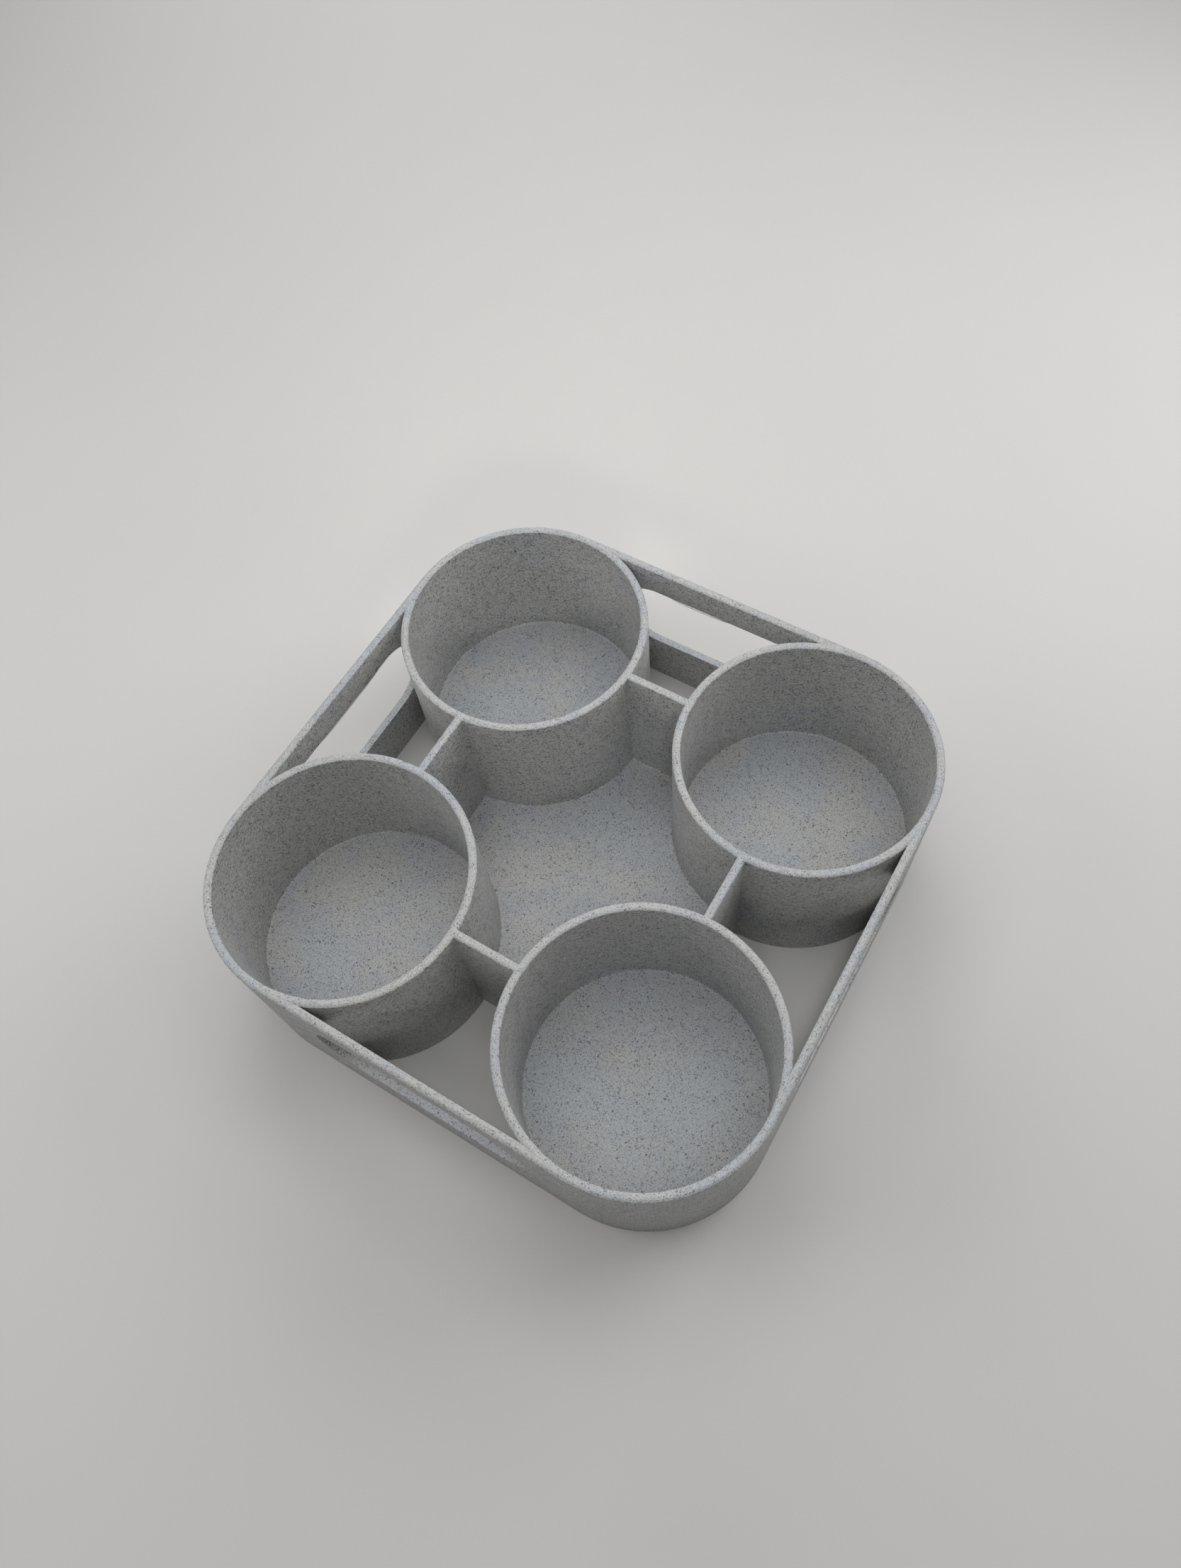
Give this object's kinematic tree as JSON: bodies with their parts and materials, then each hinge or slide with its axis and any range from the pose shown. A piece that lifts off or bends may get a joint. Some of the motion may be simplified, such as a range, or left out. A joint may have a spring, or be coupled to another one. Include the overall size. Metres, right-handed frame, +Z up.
{
  "type": "cup tray",
  "caption": "Square one-piece plastic cup tray: round cup wells at the corners, a middle well, floorless gaps behind the sides and a round-ended grip slot in each side wall.",
  "frame": {"origin": "centre of the base, on the surface the tray stands on", "axes": "+Z up out of the wells; X and Y along the sides, through the middles of opposite side walls"},
  "size_m": [0.18, 0.18, 0.058],
  "materials": {
    "speckled_plastic": "light stone grey with fine dark specks, satin, with fine horizontal print layers"
  },
  "bodies": {
    "root": {"cup_tray": "speckled_plastic"}
  },
  "joints": []
}
